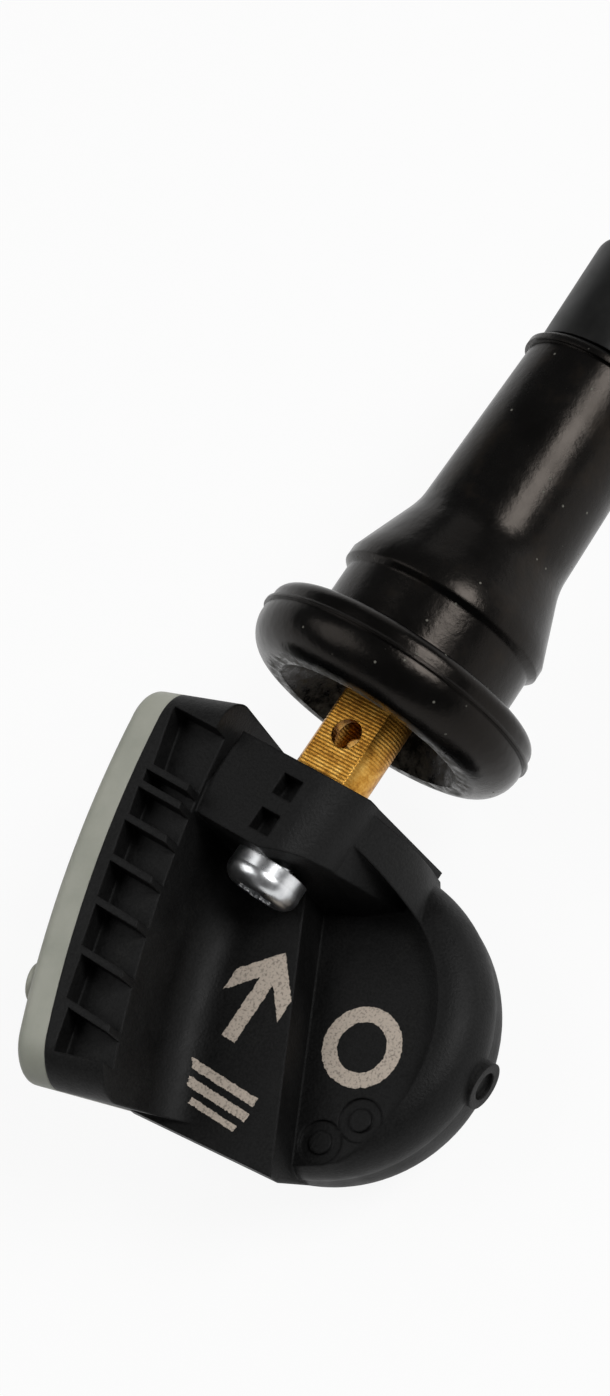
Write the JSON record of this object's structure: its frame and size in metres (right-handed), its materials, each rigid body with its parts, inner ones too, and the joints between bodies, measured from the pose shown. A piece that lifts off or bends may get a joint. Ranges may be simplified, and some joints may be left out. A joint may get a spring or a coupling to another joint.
{
  "type": "tyre pressure sensor",
  "caption": "Tyre pressure sensor: rubber snap-in valve with brass stem and dust cap, screwed to a ribbed plastic box with a pale lid and a round battery dome.",
  "frame": {"origin": "on the valve's axis, on the sealing face of the rubber flange where the wheel rim sits", "axes": "+X along the valve towards its cap, +Y towards the lid of the sensor box, +Z out of the stepped and ribbed front of the box"},
  "size_m": [0.0631, 0.0263, 0.0234],
  "materials": {
    "housing": "satin",
    "lid": "satin",
    "sealant": "satin",
    "valve_rubber": "satin",
    "brass": "turned",
    "seal_rubber": "matte",
    "steel": "satin",
    "cap": "satin",
    "zinc": "bright",
    "board": "satin",
    "chip": "matte",
    "ferrite": "matte",
    "copper": "satin",
    "ceramic": "satin"
  },
  "bodies": {
    "sensor": {"housing": "housing", "lid": "lid", "lid_seal": "sealant", "valve_rubber": "valve_rubber", "brass_stem": "brass", "core_barrel": "brass", "core_gasket": "seal_rubber", "core_spring": "steel", "retaining_screw": "zinc", "coin_cell": "steel", "battery_tab_plus": "steel", "battery_tab_minus": "steel", "circuit_board": "board", "pressure_chip": "chip", "port_tube": "seal_rubber", "coil_core": "ferrite", "coil_winding": "copper", "crystal": "steel", "capacitors": "ceramic", "antenna_loop": "copper"},
    "pin": {"core_pin": "brass", "core_seal": "seal_rubber"},
    "cap": {"valve_cap": "cap", "cap_seal": "seal_rubber"}
  },
  "joints": [
    {"name": "cap_lift", "type": "slide", "parent": "sensor", "child": "cap", "axis": [1, 0, 0], "range_m": [0, 0.007]},
    {"name": "core_pin_press", "type": "slide", "parent": "sensor", "child": "pin", "axis": [-1, 0, 0], "range_m": [0, 0.0012], "stiffness_N_per_m": 600, "springref_m": -0.004, "deforming": ["core_spring"]}
  ]
}
